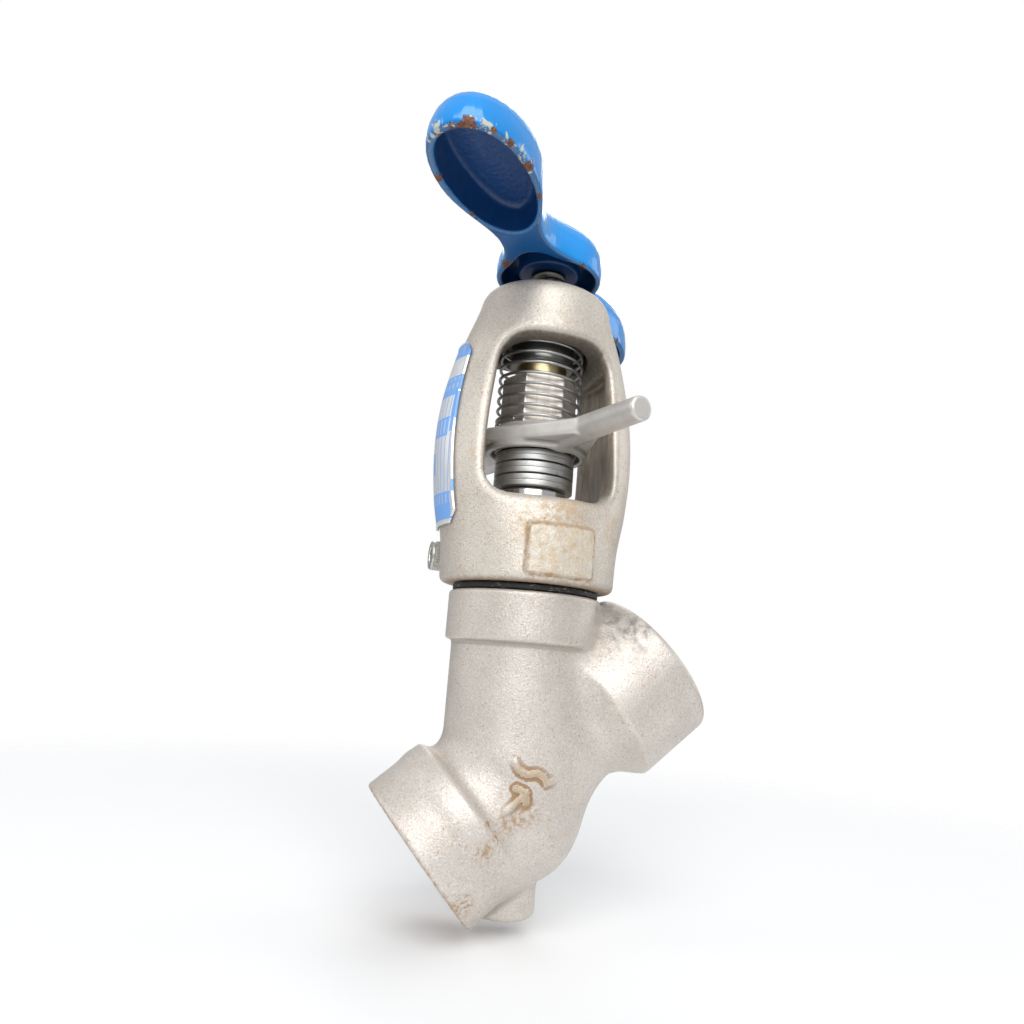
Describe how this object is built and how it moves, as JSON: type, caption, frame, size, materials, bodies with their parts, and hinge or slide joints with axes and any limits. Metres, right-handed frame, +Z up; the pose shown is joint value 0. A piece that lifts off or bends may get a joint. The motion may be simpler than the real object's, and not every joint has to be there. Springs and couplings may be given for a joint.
{
  "type": "flow control valve",
  "caption": "Y-pattern hand-operated flow control valve with socket-weld ends, clamped open yoke, live-loaded gland with built-in wrench and a two-lobed bar handle.",
  "frame": {"origin": "flow centre, where the pipe's axis crosses the stem's axis", "axes": "+Z up the stem towards the handle; +X in the plane of the pipe, towards the outlet; the pipe's axis is 49.5 degrees from +Z towards +X"},
  "size_m": [0.1092, 0.1364, 0.2181],
  "materials": {
    "forging": "blasted forging, light grey with rust specks",
    "black_seal": "matt black",
    "zinc": "zinc plated",
    "plate": "satin with blue printed blocks",
    "bronze": "machined",
    "polished_steel": "ground and polished",
    "spring_steel": "dark, lightly worn",
    "graphite": "pressed graphite",
    "cast_steel": "satin cast surface",
    "enamel": "gloss blue enamel, chipped at the rims"
  },
  "bodies": {
    "valve": {"valve_body": "forging", "yoke": "forging", "neck_seal_ring": "black_seal", "clamp_screw": "zinc", "nameplate": "plate", "yoke_bushing": "bronze", "backseat_bushing": "polished_steel", "packing_ring_1": "graphite", "packing_ring_2": "graphite", "packing_ring_3": "graphite", "packing_ring_4": "graphite", "packing_ring_5": "graphite", "wrench_spring": "spring_steel"},
    "gland_stack": {"gland": "polished_steel", "disc_spring_1": "spring_steel", "disc_spring_2": "spring_steel", "disc_spring_3": "spring_steel", "disc_spring_4": "spring_steel", "disc_spring_5": "spring_steel", "disc_spring_6": "spring_steel", "thrust_race_lower": "polished_steel", "thrust_cage": "spring_steel"},
    "adjuster": {"gland_nut": "cast_steel", "thrust_race_upper": "polished_steel"},
    "spanner": {"gland_wrench": "cast_steel"},
    "plug": {"disc": "polished_steel", "disc_nut": "polished_steel"},
    "operator": {"stem": "polished_steel", "handle": "enamel", "handle_washer": "zinc", "handle_nut": "zinc"}
  },
  "joints": [
    {"name": "stem_lift", "type": "slide", "parent": "valve", "child": "plug", "axis": [0, 0, 1], "range_m": [0, 0.00901]},
    {"name": "handle_turn", "type": "hinge", "parent": "plug", "child": "operator", "pos_m": [0, 0, 0.1], "axis": [0, 0, 1], "range_deg": [0, 1296]},
    {"name": "gland_press", "type": "slide", "parent": "valve", "child": "gland_stack", "axis": [0, 0, 1], "range_m": [-0.00018334, 0.0000625]},
    {"name": "gland_nut_turn", "type": "hinge", "parent": "gland_stack", "child": "adjuster", "pos_m": [0, 0, 0.11], "axis": [0, 0, 1], "range_deg": [-44, 15]},
    {"name": "wrench_lift", "type": "slide", "parent": "adjuster", "child": "spanner", "axis": [0, 0, 1], "range_m": [0, 0.012], "stiffness_N_per_m": 40, "springref_m": -0.02, "deforming": ["wrench_spring"]}
  ],
  "couplings": [
    {"joint": "stem_lift", "follows": "handle_turn", "m_per_rad": 0.00039789},
    {"joint": "gland_press", "follows": "gland_nut_turn", "m_per_rad": 0.00023873}
  ]
}
